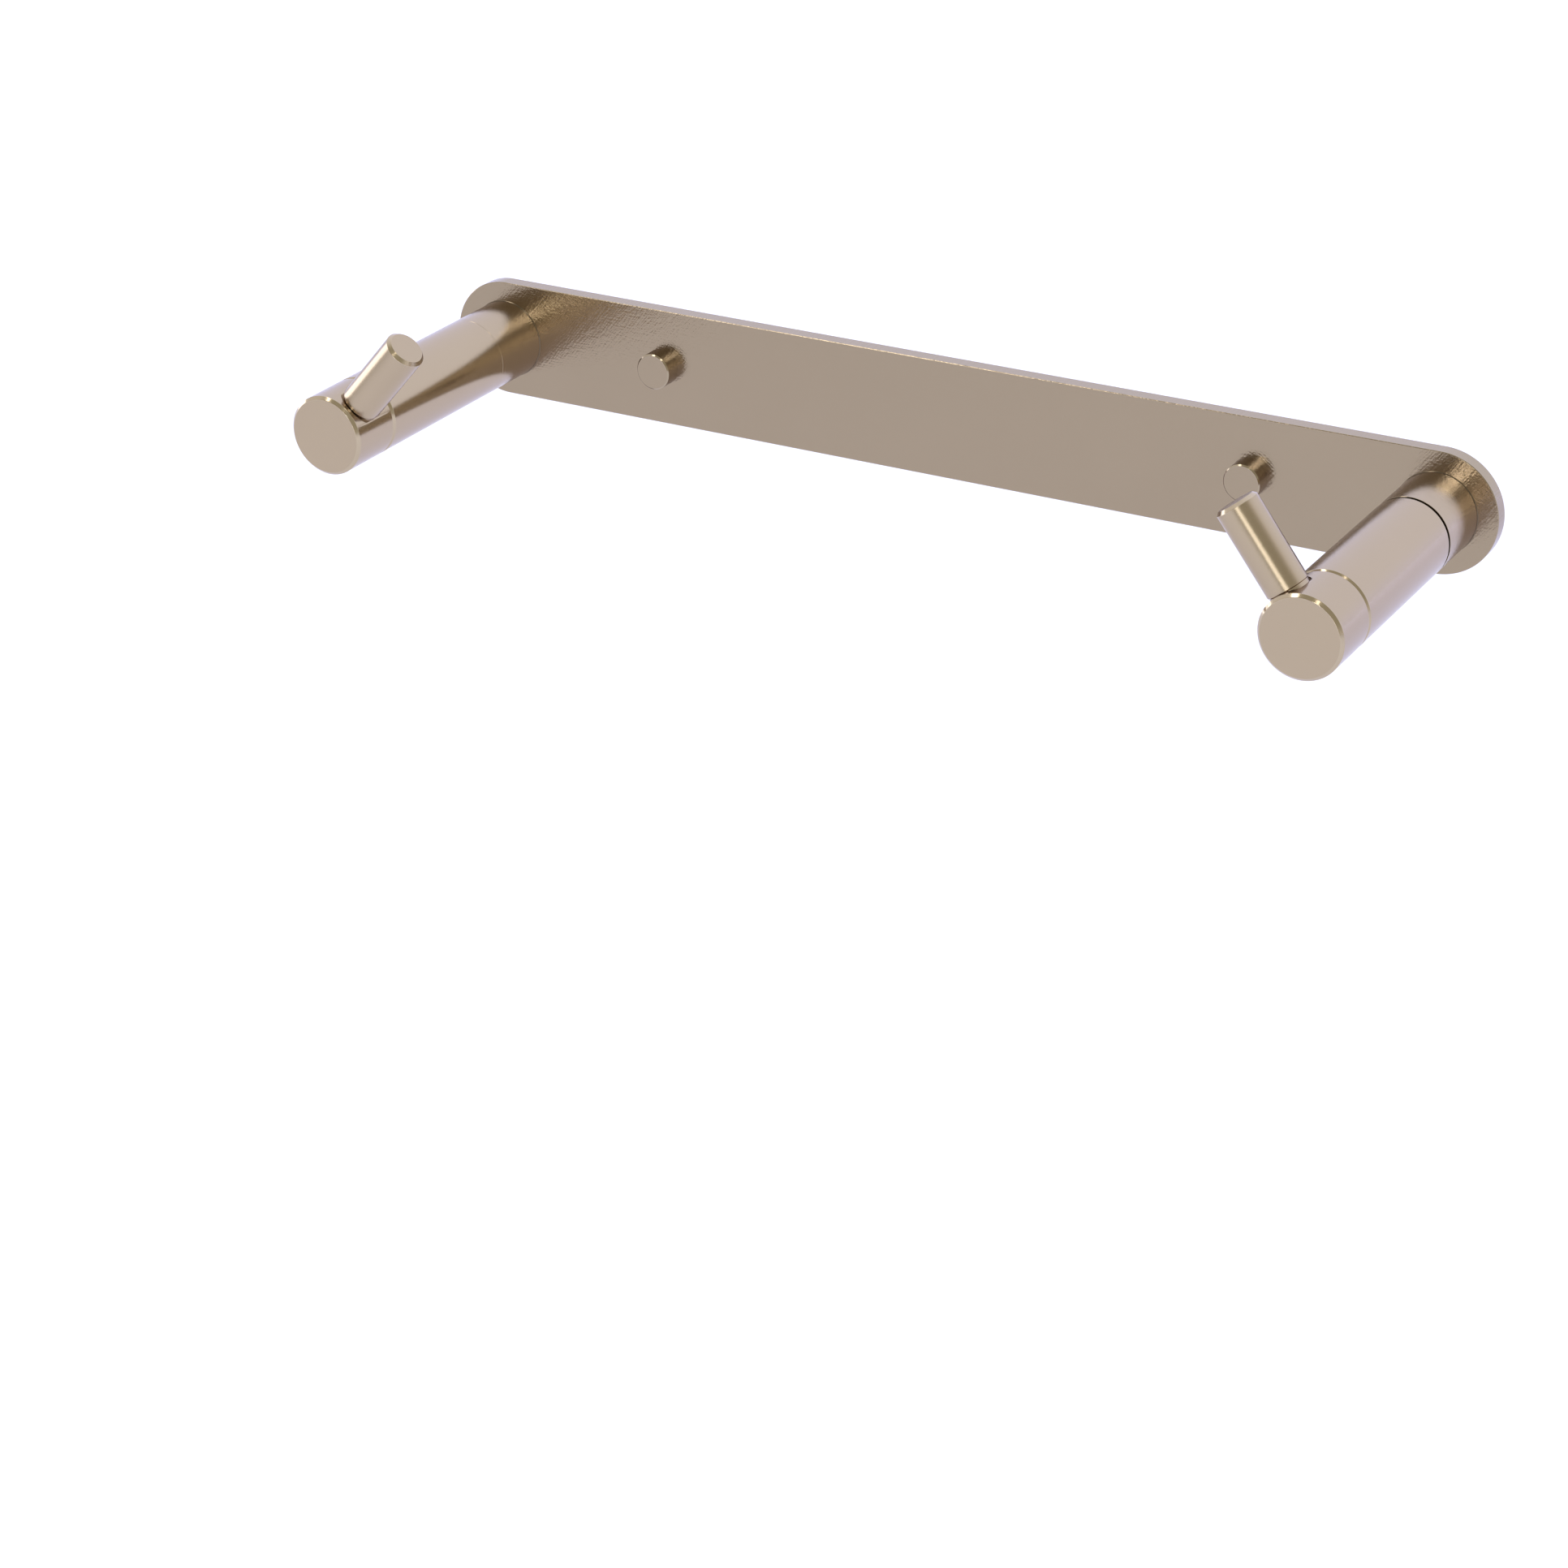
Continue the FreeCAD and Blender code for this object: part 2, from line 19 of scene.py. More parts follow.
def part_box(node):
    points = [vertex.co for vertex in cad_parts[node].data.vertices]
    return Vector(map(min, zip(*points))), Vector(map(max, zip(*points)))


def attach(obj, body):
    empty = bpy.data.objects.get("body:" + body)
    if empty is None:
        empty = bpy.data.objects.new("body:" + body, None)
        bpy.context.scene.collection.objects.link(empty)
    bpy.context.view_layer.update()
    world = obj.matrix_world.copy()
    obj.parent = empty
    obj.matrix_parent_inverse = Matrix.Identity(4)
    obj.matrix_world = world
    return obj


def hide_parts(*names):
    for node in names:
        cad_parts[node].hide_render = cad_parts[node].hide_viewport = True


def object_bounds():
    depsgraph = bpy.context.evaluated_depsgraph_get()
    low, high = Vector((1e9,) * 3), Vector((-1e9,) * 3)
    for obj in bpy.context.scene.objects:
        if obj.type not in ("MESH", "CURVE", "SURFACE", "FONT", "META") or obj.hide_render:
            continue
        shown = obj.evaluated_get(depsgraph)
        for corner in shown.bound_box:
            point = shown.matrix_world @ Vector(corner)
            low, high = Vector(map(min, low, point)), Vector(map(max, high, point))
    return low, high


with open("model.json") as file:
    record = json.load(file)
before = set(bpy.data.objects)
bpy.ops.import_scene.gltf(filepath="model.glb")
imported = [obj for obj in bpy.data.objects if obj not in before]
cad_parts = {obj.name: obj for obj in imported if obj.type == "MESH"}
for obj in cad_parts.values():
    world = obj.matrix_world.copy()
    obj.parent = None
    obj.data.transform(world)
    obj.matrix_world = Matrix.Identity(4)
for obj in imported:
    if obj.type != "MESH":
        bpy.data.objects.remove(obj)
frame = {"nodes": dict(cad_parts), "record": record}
cad_low, cad_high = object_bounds()
print("CAD box in mm:", [round(1000 * (b - a), 1) for a, b in zip(cad_low, cad_high)])

# %% [markdown]
# ## Where things are
#
# Nothing is placed by eye. A post's frame has Z running out from the wall, so one number says how
# far along the post a shoulder lies. The head's frame is the same one turned about the post until
# X lies along the roll pin, and the pin's own frame has Z running out along the pin. The angle at
# which each pin stands comes from the record's mounts.

# %% Frames of the posts, heads, pins and caps
MM = 0.001
SIDES = ("left", "right")
TO_FRONT = Matrix.Rotation(math.pi / 2, 4, "X")
TO_PIN = Matrix.Rotation(math.pi / 2, 4, "Y")

record = frame["record"]
body_of_node = {n: body for body, nodes in record["behaviour"]["bodies"].items() for n in nodes}
slot_of_node = {part["node"]: part["material_slot"] for part in record["subparts"]}
mounts = {mount["name"]: mount for mount in record["mounts"]}


def out_from_wall(node):
    """Frame whose Z axis runs out from the wall through the middle of a node's box."""
    low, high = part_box(node)
    return Matrix.Translation(((low.x + high.x) / 2, 0, 0)) @ TO_FRONT


post = {side: out_from_wall(f"{side}_base_collar") for side in SIDES}
cap = {side: out_from_wall(f"{side}_screw_cap") for side in SIDES}
head, pin = {}, {}
for side in SIDES:
    mount = mounts[f"{side}_roll_pin_end"]
    raised = math.atan2(mount["axis"][2], mount["axis"][0])
    head[side] = post[side] @ Matrix.Rotation(raised, 4, "Z")
    pin[side] = head[side] @ Matrix.Translation((0, 0, -mount["pos_m"][1])) @ TO_PIN
    print(side, "pin points", round(math.degrees(raised), 1), "degrees from +X")

# %% [markdown]
# ## Measuring a node
#
# The CAD nodes stay the truth about size. Seen in its own frame, a turned piece needs only three
# numbers: where it starts, where it ends and how wide it is.


# %% Measure along a frame
def extent(node, place):
    """Start and end of a node along a frame's Z axis, and its widest radius about that axis."""
    mesh = frame["nodes"][node].data
    flat = np.zeros(len(mesh.vertices) * 3)
    mesh.vertices.foreach_get("co", flat)
    back = np.array(place.inverted())
    local = flat.reshape(-1, 3) @ back[:3, :3].T + back[:3, 3]
    return local[:, 2].min(), local[:, 2].max(), np.hypot(local[:, 0], local[:, 1]).max()


PLATE_FRONT = -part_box("back_plate")[0].y
COLLAR_FRONT = extent("left_base_collar", post["left"])[1]
print("plate front at", round(PLATE_FRONT / MM, 2), "mm, collar front at",
      round(COLLAR_FRONT / MM, 2), "mm from the wall")

# %% [markdown]
# ## Softened outlines
#
# A real turned edge is never perfectly sharp: a file or the polishing wheel leaves a tiny round
# that catches the light. The outline of each piece is written as a few corners, and every corner
# is then replaced with a short arc. Beside each arc stands one guard point, so that smooth shading
# bends only over the arc and leaves the flat beside it flat. The arcs and the polished chamfers
# are marked, so that the finish can be smoother there and carry a painted highlight, and so are
# the sides at the foot of a joint, which get a painted shadow. A bevel modifier could round the
# edges too, but it would not leave these marks.

# %% Round the corners of an outline
ARC_STEPS = 4
SOFT = 0.12 * MM
GUARD_STEP = 0.8


def unit(vectors):
    """Vectors divided by their own length."""
    return vectors / np.maximum(np.linalg.norm(vectors, axis=-1, keepdims=True), 1e-12)


def soften(corners, radii, polish_and_highlight=(), painted_shadow=()):
    """Closed outline with every corner replaced by an arc, as (points, shine).

    corners is (count, 2), or (count, around, 2) where the outline changes with the angle. With a
    and b the unit directions to the neighbours and t the angle that the outline turns by, an arc
    of radius r touches both sides at r * tan(t / 2) from the corner, and its centre lies on the
    bisector at r / cos(t / 2). The first list names corners whose next side is a polished chamfer
    with a painted highlight, the second those whose next side gets a painted shadow at the foot of
    a joint.
    """
    corner = np.array(corners, float)
    corner = corner[:, None] if corner.ndim == 2 else corner
    radius = np.array(radii, float)[:, None, None]
    a = unit(np.roll(corner, 1, axis=0) - corner)
    b = unit(np.roll(corner, -1, axis=0) - corner)
    turn = np.pi - np.arccos(np.clip((a * b).sum(-1, keepdims=True), -1, 1))
    to_centre = unit(a + b) / np.maximum(np.cos(turn / 2), 1e-6)
    start, stop = a * np.tan(turn / 2) - to_centre, b * np.tan(turn / 2) - to_centre
    share = np.linspace(0, 1, ARC_STEPS + 1)[None, :, None, None]
    sweep = turn[:, None]
    arc = np.sin((1 - share) * sweep) * start[:, None] + np.sin(share * sweep) * stop[:, None]
    centre = (corner + to_centre * radius)[:, None]
    arc = centre + radius[:, None] * arc / np.maximum(np.sin(sweep), 1e-6)
    guard = radius * (np.tan(turn / 2) + GUARD_STEP)
    rows = np.concatenate([(corner + a * guard)[:, None], arc, (corner + b * guard)[:, None]], 1)
    count = np.arange(len(corner))
    # dark marks the sides that get a painted shadow, and leaves the polished sides that get a painted
    # highlight.
    dark = np.isin(count, painted_shadow) * 1.0
    leaves = np.isin(count, polish_and_highlight) - dark
    arcs = (np.array(radii) > 0) * np.clip(1 - 2 * dark - np.roll(dark, 1), -1, 1)
    shine = np.repeat(arcs[:, None], ARC_STEPS + 3, axis=1)
    shine[:, 0] = np.roll(leaves, 1)
    shine[:, -1] = leaves
    return rows.reshape(-1, *corner.shape[1:]), shine.reshape(-1)


# %% [markdown]
# ## From an outline to a turned piece
#
# A lathe makes a surface of revolution: the outline carried round a circle. The grid of points is
# worked out as one array. Because the outline may change with the angle, the same function also
# makes hexagons, threads, the arc slot and the flat seat of the pin. Where the outline starts and
# ends on the axis, its first and last rings shrink to a point, and merging closes the pole.

# %% Turn a grid of points into a closed piece
AROUND = 144
SHARP = math.radians(32)
MERGE_WITHIN, COLLAPSE_WITHIN = 2e-7, 1e-7


def settle(work, mesh):
    """Mesh from its finished work, with all faces turned outwards and hard corners kept hard."""
    bmesh.ops.recalc_face_normals(work, faces=work.faces)
    if work.calc_volume(signed=True) < 0:
        bmesh.ops.reverse_faces(work, faces=work.faces)
    open_edges = sum(not edge.is_manifold for edge in work.edges)
    work.to_mesh(mesh)
    work.free()
    mesh.shade_smooth()
    mesh.set_sharp_from_angle(angle=SHARP)
    print(f"{mesh.name:26s} {len(mesh.polygons):6d} faces, {open_edges} open edges")
    return mesh


def closed_mesh(name, points, faces, shine):
    """Mesh with doubled points merged and each point's shine kept in its edge attribute."""
    mesh = bpy.data.meshes.new(name)
    mesh.from_pydata(points.tolist(), [], faces)
    mark = mesh.attributes.new("edge", "FLOAT", "POINT")
    mark.data.foreach_set("value", shine.astype(np.float32))
    work = bmesh.new()
    work.from_mesh(mesh)
    bmesh.ops.remove_doubles(work, verts=work.verts, dist=MERGE_WITHIN)
    bmesh.ops.dissolve_degenerate(work, edges=work.edges, dist=COLLAPSE_WITHIN)
    return settle(work, mesh)


def grid_faces(rows, columns, ring):
    """Four corners of each quad of a grid whose columns close, and whose rows close if ring."""
    index = np.arange(rows * columns).reshape(rows, columns)
    if ring:
        index = np.vstack([index, index[:1]])
    beside = np.roll(index, -1, axis=1)
    return np.stack([index[:-1], beside[:-1], beside[1:], index[1:]], axis=-1).reshape(-1, 4)


def in_place(points, place):
    """Points of a piece's own frame, in the holder's frame."""
    matrix = np.array(place)
    return points.reshape(-1, 3) @ matrix[:3, :3].T + matrix[:3, 3]


def stand_in(node, mesh):
    """Object that is shown for a CAD node and rides on that node's body."""
    piece = bpy.data.objects.new(mesh.name, mesh)
    bpy.context.scene.collection.objects.link(piece)
    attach(piece, body_of_node[node])
    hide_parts(node)
    return piece


EVEN = np.linspace(0, 2 * np.pi, AROUND, endpoint=False)
finished = {}


def turned(node, outline, shine, place, ring, angles=EVEN):
    """Surface of revolution: x = radius cos(angle), y = radius sin(angle), z = distance."""
    radius, distance, angle = np.broadcast_arrays(outline[..., 0], outline[..., 1], angles)
    points = np.stack([radius * np.cos(angle), radius * np.sin(angle), distance], axis=-1)
    shine = np.broadcast_to(shine[:, None], radius.shape).ravel()
    faces = grid_faces(*radius.shape, ring).tolist()
    mesh = closed_mesh(node + "_skin", in_place(points, place), faces, shine)
    finished[node] = stand_in(node, mesh)


def lathe(node, place, corners, polish_and_highlight=(), painted_shadow=(), ring=True, soft=SOFT, angles=EVEN):
    """Turned piece from (radius, distance) corners, all softened but those on the axis."""
    corners = np.array(corners, float)
    off_axis = corners[..., 0].reshape(len(corners), -1).min(axis=1) > 1e-9
    outline, shine = soften(corners, np.where(off_axis, soft, 0), polish_and_highlight, painted_shadow)
    turned(node, outline, shine, place, ring, angles)


# %% [markdown]
# ## Base collars and the spacer washer
#
# Each post stands on a short turned collar that is drawn tight against the plate. The right post
# has a black washer between collar and body, set back under the surface: it is the dark line that
# runs round that post. They could be plain cylinders, but the small break on each edge shows that
# two pieces meet there. At its foot the collar flares by a hair, a bead that shines from above.
# The bead and a narrow band above it get a near black painted shadow where collar meets plate.

# %% Collars and spacer
SCREW_HOLE = 3.3 * MM
EDGE_BREAK = 0.3 * MM
JOINT_BREAK = 0.06 * MM
BEAD = 0.2 * MM
SHADOW_BAND_END = 2.6 * BEAD
BEAD_SOFT = 0.03 * MM

for side in SIDES:
    start, end, wide = extent(f"{side}_base_collar", post[side])
    # The bead and the band above it, corners 2 and 3, get a painted shadow.
    lathe(f"{side}_base_collar", post[side], [
        (SCREW_HOLE, start), (wide + BEAD, start), (wide + BEAD, start + BEAD),
        (wide, start + 2 * BEAD), (wide, start + SHADOW_BAND_END),
        (wide, end - JOINT_BREAK), (wide - JOINT_BREAK, end), (SCREW_HOLE, end),
    ], painted_shadow=[2, 3], soft=[0] + [BEAD_SOFT] * 4 + [0] * 3)

start, end, wide = extent("right_spacer_washer", post["right"])
lathe("right_spacer_washer", post["right"], [
    (SCREW_HOLE, start), (wide, start), (wide, end), (SCREW_HOLE, end),
])

# %% [markdown]
# ## Pockets cut into a turned face
#
# The front wall of a post has an arc-shaped slot in which the stop pin of the head travels, and
# the head has a round hole for that pin. Neither is a surface of revolution, but at each angle
# each is still a simple step in the outline. The step's two radii follow from a circle of the
# pocket's half width: r cos(d) plus or minus the root of w squared minus (r sin(d)) squared, where
# d is how far the angle lies past the end of the slot. Boolean cuts would work as well, but they
# leave long thin faces that shade badly. Where r sin(d) reaches w, the pocket closes.


# %% Radii of a pocket at each angle
POCKET_STEPS = 9


def pocket(middle, sweep, radius, half, depth):
    """Angles that suit the pocket, and its inner radius, outer radius and depth at each."""
    reach = math.asin(half / radius)
    fine = sweep / 2 + reach * np.sin(np.linspace(0, np.pi / 2, POCKET_STEPS))
    angles = np.concatenate([EVEN, middle + fine, middle - fine]) % (2 * np.pi)
    angles = np.unique(angles.round(7) % round(2 * np.pi, 7))
    past = np.abs((angles - middle + np.pi) % (2 * np.pi) - np.pi) - sweep / 2
    past = np.clip(past, 0, np.pi / 2)
    root = np.sqrt(np.maximum(half ** 2 - (radius * np.sin(past)) ** 2, 0))
    inside = past < reach - 1e-6
    middle_radius = np.where(inside, radius * np.cos(past), radius)
    return angles, middle_radius - root * inside, middle_radius + root * inside, depth * inside


# %% [markdown]
# ## Post bodies
#
# A post body is a tube that is closed at the front by a thick wall. The wall holds the pivot's
# bush, and its outer edge has a wide chamfer that shines as a thin ring behind the head; the
# chamfer also carries a painted highlight in its colour.

# %% Bodies
SEAM_CHAMFER = 0.9 * MM
CAVITY = 8.5 * MM
FRONT_WALL = 9.0 * MM
BUSH_SEAT, FLANGE_SEAT, FLANGE_SINK = 5.55 * MM, 7.05 * MM, 1.0 * MM
SLOT_RADIUS, SLOT_HALF, SLOT_DEPTH = 9.2 * MM, 1.7 * MM, 3.6 * MM
SLOT_MIDDLE = {"left": math.radians(225), "right": math.radians(315)}
SLOT_SWEEP = math.pi / 2


def around(count, *corners):
    """Corners as one array, where a number stands for the same value at every angle."""
    return np.stack([np.stack([np.broadcast_to(v, count) for v in c], -1) for c in corners])


for side in SIDES:
    rear, front, wide = extent(f"{side}_post_body", post[side])
    angles, inner, outer, depth = pocket(
        SLOT_MIDDLE[side], SLOT_SWEEP, SLOT_RADIUS, SLOT_HALF, SLOT_DEPTH
    )
    corners = around(
        len(angles),
        (CAVITY, rear), (wide - JOINT_BREAK, rear), (wide, rear + JOINT_BREAK),
        (wide, front - SEAM_CHAMFER), (wide - SEAM_CHAMFER, front),
        (outer, front), (outer, front - depth), (inner, front - depth), (inner, front),
        (FLANGE_SEAT, front), (FLANGE_SEAT, front - FLANGE_SINK), (BUSH_SEAT, front - FLANGE_SINK),
        (BUSH_SEAT, front - FRONT_WALL), (CAVITY, front - FRONT_WALL),
    )
    soft = [0, 0, 0, SOFT, SOFT] + [0] * 9
    # The seam chamfer is polished and gets a painted highlight.
    outline, shine = soften(corners, soft, polish_and_highlight=[3])
    turned(f"{side}_post_body", outline, shine, post[side], True, angles)

# %% [markdown]
# ## Swivel heads
#
# The head is a short solid drum. Its front edge has the widest and brightest chamfer. On one side
# a cutter has made a round flat seat for the roll pin. At an angle t from the pin, the drum's own
# surface lies R sin(t) to the side of the pin's axis, so the seat's rim is the root of w squared
# minus (R sin(t)) squared above and below it, and its floor lies at f / cos(t) from the post's
# axis. Past the angle where the floor comes out of the drum, the outline is left as it is.

# %% Heads
FACE_CHAMFER = 0.9 * MM
SEAT_RADIUS, SEAT_FLOOR = 6.75 * MM, 11.2 * MM
STUD_WELL, STUD_RADIUS = 7.0 * MM, 3.05 * MM
STOP_HALF, STOP_SEAT = 1.55 * MM, 5.0 * MM
SEAT_STEPS = 65
REAR_SOFT = 0.08 * MM


def with_seat(angles, wide):
    """Rim half-length, floor half-length and floor radius of the pin's seat at each angle."""
    edge = math.acos(SEAT_FLOOR / wide)
    turn = np.clip(np.abs((angles + np.pi) % (2 * np.pi) - np.pi), 0, edge)
    rim = np.sqrt(SEAT_RADIUS ** 2 - (wide * np.sin(turn)) ** 2)
    floor = np.sqrt(SEAT_RADIUS ** 2 - (SEAT_FLOOR * np.tan(turn)) ** 2)
    return rim, floor, SEAT_FLOOR / np.cos(turn)


for side in SIDES:
    rear, front, wide = extent(f"{side}_swivel_head", head[side])
    middle = -mounts[f"{side}_roll_pin_end"]["pos_m"][1]
    angles, *hole = pocket(math.pi, 0, SLOT_RADIUS, STOP_HALF, STOP_SEAT)
    limit = math.acos(SEAT_FLOOR / wide)
    close = np.linspace(-limit, limit, SEAT_STEPS) % (2 * np.pi)
    all_angles = np.unique(np.concatenate([angles, close]).round(7))
    inner, outer, depth = [np.interp(all_angles, angles, row) for row in hole]
    rim, floor, floor_radius = with_seat(all_angles, wide)
    corners = around(
        len(all_angles),
        (0, rear + STUD_WELL), (STUD_RADIUS, rear + STUD_WELL), (STUD_RADIUS, rear),
        (inner, rear), (inner, rear + depth), (outer, rear + depth), (outer, rear),
        (wide - EDGE_BREAK, rear), (wide, rear + EDGE_BREAK),
        (wide, middle - rim), (floor_radius, middle - floor),
        (floor_radius, middle + floor), (wide, middle + rim),
        (wide, front - FACE_CHAMFER), (wide - FACE_CHAMFER, front), (0, front),
    )
    soft = [0] * 7 + [REAR_SOFT] * 2 + [0] * 4 + [SOFT, SOFT, 0]
    # The rear edge break and the front chamfer get a painted highlight.
    outline, shine = soften(corners, soft, polish_and_highlight=[7, 13])
    turned(f"{side}_swivel_head", outline, shine, head[side], False, all_angles)

# %% [markdown]
# ## Roll pins
#
# The pin stands in the head on a slightly narrower neck, which leaves a thin dark line around its
# foot. Its tip is flat with a one millimetre chamfer, so that it slides into the roll's core. It
# could be a cylinder with two bevels, but as a turned outline it also gets the neck and the
# threaded well in its foot, and its brushed lines run round it as the lathe would leave them.

# %% Pins
TIP_CHAMFER = 1.0 * MM
NECK_STEP, NECK_TOP = 0.35 * MM, 12.8 * MM
WELL_END = 21.5 * MM
PIN_SOFT = 0.1 * MM

for side in SIDES:
    foot, tip, wide = extent(f"{side}_roll_pin", pin[side])
    # The neck's chamfer and the tip chamfer get a painted highlight.
    lathe(f"{side}_roll_pin", pin[side], [
        (0, WELL_END), (STUD_RADIUS, WELL_END), (STUD_RADIUS, foot), (wide - NECK_STEP, foot),
        (wide - NECK_STEP, NECK_TOP - NECK_STEP), (wide, NECK_TOP),
        (wide, tip - TIP_CHAMFER), (wide - TIP_CHAMFER, tip), (0, tip),
    ], polish_and_highlight=[4, 6], ring=False, soft=PIN_SOFT)

# %% [markdown]
# ## Screw caps
#
# Two small round caps hide the wall screws. Each is a thin turned cup with a crisp edge. A solid
# disc would look the same from outside, but the cup is what leaves room for the screw's head.

# %% Caps
CAP_EDGE, CAP_WALL, CAP_ROOF = 0.4 * MM, 1.2 * MM, 1.1 * MM
CAP_SOFT = 0.04 * MM

for side in SIDES:
    start, top, wide = extent(f"{side}_screw_cap", cap[side])
    # The top edge of each cap gets a painted highlight.
    lathe(f"{side}_screw_cap", cap[side], [
        (0, top - CAP_ROOF), (wide - CAP_WALL, top - CAP_ROOF), (wide - CAP_WALL, start),
        (wide - JOINT_BREAK, start), (wide, start + JOINT_BREAK),
        (wide, top - CAP_EDGE), (wide - CAP_EDGE, top), (0, top),
    ], polish_and_highlight=[5], ring=False, soft=CAP_SOFT)

# %% [markdown]
# ## The back plate
#
# The plate is a long bar with round ends. Its rim is one small outline, the back edge, the side
# and the front chamfer, carried round the bar's shape: a point of the rim at inset i lies on a
# half circle of radius (h - i) about one of the two end centres. The big flat faces are filled
# between the rim and the holes, and each hole has its own small turned lining.

# %% Rim, holes and faces of the plate
PLATE_CHAMFER = 0.2 * MM
PLATE_SOFT, BACK_SOFT = 0.05 * MM, 0.15 * MM
RIM_WIDTH = 3 * MM
WALL_HOLE = 2.5 * MM
SINK_RADIUS = 6.2 * MM
END_STEPS = 97

plate_low, plate_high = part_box("back_plate")
plate_half = (plate_high.z - plate_low.z) / 2
end_centre = plate_high.x - plate_half
turns = np.linspace(-np.pi / 2, np.pi / 2, END_STEPS)
rim_turn = np.concatenate([turns, turns + np.pi])
rim_middle = np.repeat([end_centre, -end_centre], END_STEPS)


def plate_loop(radius, distance):
    """Closed loops round the bar: x = middle + r cos(turn), y = -distance, z = r sin(turn)."""
    radius, distance, turn = np.broadcast_arrays(radius[:, None], distance[:, None], rim_turn)
    return np.stack([rim_middle + radius * np.cos(turn), -distance, radius * np.sin(turn)], -1)


def hole_loop(centre, radius, distance):
    """Closed loops round a hole's axis: x = centre + r cos(turn), z = r sin(turn)."""
    radius, distance, turn = np.broadcast_arrays(radius[:, None], distance[:, None], EVEN)
    return np.stack([centre + radius * np.cos(turn), -distance, radius * np.sin(turn)], -1)


# The rim's outer side gets a painted highlight.
rim, rim_shine = soften(
    [(plate_half - RIM_WIDTH, 0), (plate_half, 0), (plate_half, PLATE_FRONT - PLATE_CHAMFER),
     (plate_half - PLATE_CHAMFER, PLATE_FRONT), (plate_half - RIM_WIDTH, PLATE_FRONT)],
    [0, BACK_SOFT, PLATE_SOFT, PLATE_SOFT, 0], polish_and_highlight=[1],
)
per_corner = ARC_STEPS + 3
rim, rim_shine = rim[per_corner:-per_corner, 0], rim_shine[per_corner:-per_corner]

straight = [(WALL_HOLE, PLATE_FRONT), (WALL_HOLE, 0)]
sunk = [(SCREW_HOLE, PLATE_FRONT), (SCREW_HOLE, SINK_RADIUS - SCREW_HOLE), (SINK_RADIUS, 0)]
cap_low, cap_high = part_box("right_screw_cap")
cap_centre = cap_low.x / 2 + cap_high.x / 2
linings = [(-end_centre, sunk), (-cap_centre, straight), (cap_centre, straight), (end_centre, sunk)]

work = bmesh.new()
mark = work.verts.layers.float.new("edge")
front_edges, back_edges = [], []


def add_band(rows, shine):
    """Quads between neighbouring loops; returns the edges of the first and the last loop."""
    count, length = rows.shape[:2]
    verts = [work.verts.new(point) for point in rows.reshape(-1, 3).tolist()]
    for vert, value in zip(verts, np.repeat(shine, length)):
        vert[mark] = value
    for quad in grid_faces(count, length, False).tolist():
        work.faces.new([verts[corner] for corner in quad])
    ends = []
    for first in (0, (count - 1) * length):
        loop = verts[first:first + length]
        ends.append([work.edges.get((loop[i - 1], loop[i])) for i in range(length)])
    return ends


back_loop, front_loop = add_band(plate_loop(rim[:, 0], rim[:, 1]), rim_shine)
back_edges += back_loop
front_edges += front_loop
for centre, lining in linings:
    radius, distance = np.array(lining).T
    front_loop, back_loop = add_band(hole_loop(centre, radius, distance), np.zeros(len(lining)))
    front_edges += front_loop
    back_edges += back_loop
for loop_edges in (front_edges, back_edges):
    bmesh.ops.triangle_fill(work, use_beauty=True, use_dissolve=False, edges=loop_edges)
plate_mesh = settle(work, bpy.data.meshes.new("back_plate_skin"))
finished["back_plate"] = stand_in("back_plate", plate_mesh)

# %% [markdown]
# ## The pieces inside
#
# Bush, washer, disc spring, stop pin, insert and cap seats cannot be seen while the holder is
# whole, but they are what makes it work, so each is turned to its own outline. The coned disc
# spring is the one that leans: its inner edge lies nearer to the nut than its outer edge.

# %% Turned inner pieces
BUSH_BORE = 4.05 * MM
THREAD_BORE = 3.05 * MM
SEAM_GAP, FLANGE_WIDTH = 0.4 * MM, 1.5 * MM
SPRING_THICK = 0.5 * MM
SEAT_BORE, SEAT_SINK = 2.25 * MM, 4.2 * MM
FINE, BROAD = 0.05 * MM, 0.2 * MM

for side in SIDES:
    rear, flange, wide = extent(f"{side}_pivot_bush", post[side])
    step = flange - FLANGE_SINK - SEAM_GAP
    lathe(f"{side}_pivot_bush", post[side], [
        (BUSH_BORE, rear), (wide - FLANGE_WIDTH, rear), (wide - FLANGE_WIDTH, step),
        (wide, step), (wide, flange), (BUSH_BORE, flange),
    ], soft=FINE)
    rear, front, wide = extent(f"{side}_thrust_washer", post[side])
    lathe(f"{side}_thrust_washer", post[side], [
        (BUSH_BORE, rear), (wide, rear), (wide, front), (BUSH_BORE, front),
    ], soft=FINE)
    rear, front, wide = extent(f"{side}_disc_spring", head[side])
    lathe(f"{side}_disc_spring", head[side], [
        (BUSH_BORE, rear), (wide, front - SPRING_THICK), (wide, front),
        (BUSH_BORE, rear + SPRING_THICK),
    ], soft=FINE)
    rear, front, wide = extent(f"{side}_post_insert", post[side])
    lathe(f"{side}_post_insert", post[side], [
        (THREAD_BORE, rear), (wide, rear), (wide, front), (THREAD_BORE, front),
    ], soft=BROAD)
    rear, top, wide = extent(f"{side}_cap_seat", cap[side])
    lathe(f"{side}_cap_seat", cap[side], [
        (SEAT_BORE, rear), (wide, rear), (wide, top), (SEAT_SINK, top),
        (SEAT_BORE, top - SEAT_SINK + SEAT_BORE),
    ], soft=FINE)
    beside = head[side] @ Matrix.Translation((-SLOT_RADIUS, 0, 0))
    rear, front, wide = extent(f"{side}_stop_pin", beside)
    lathe(f"{side}_stop_pin", beside, [
        (0, rear), (wide, rear), (wide, front), (0, front),
    ], ring=False, soft=BROAD)

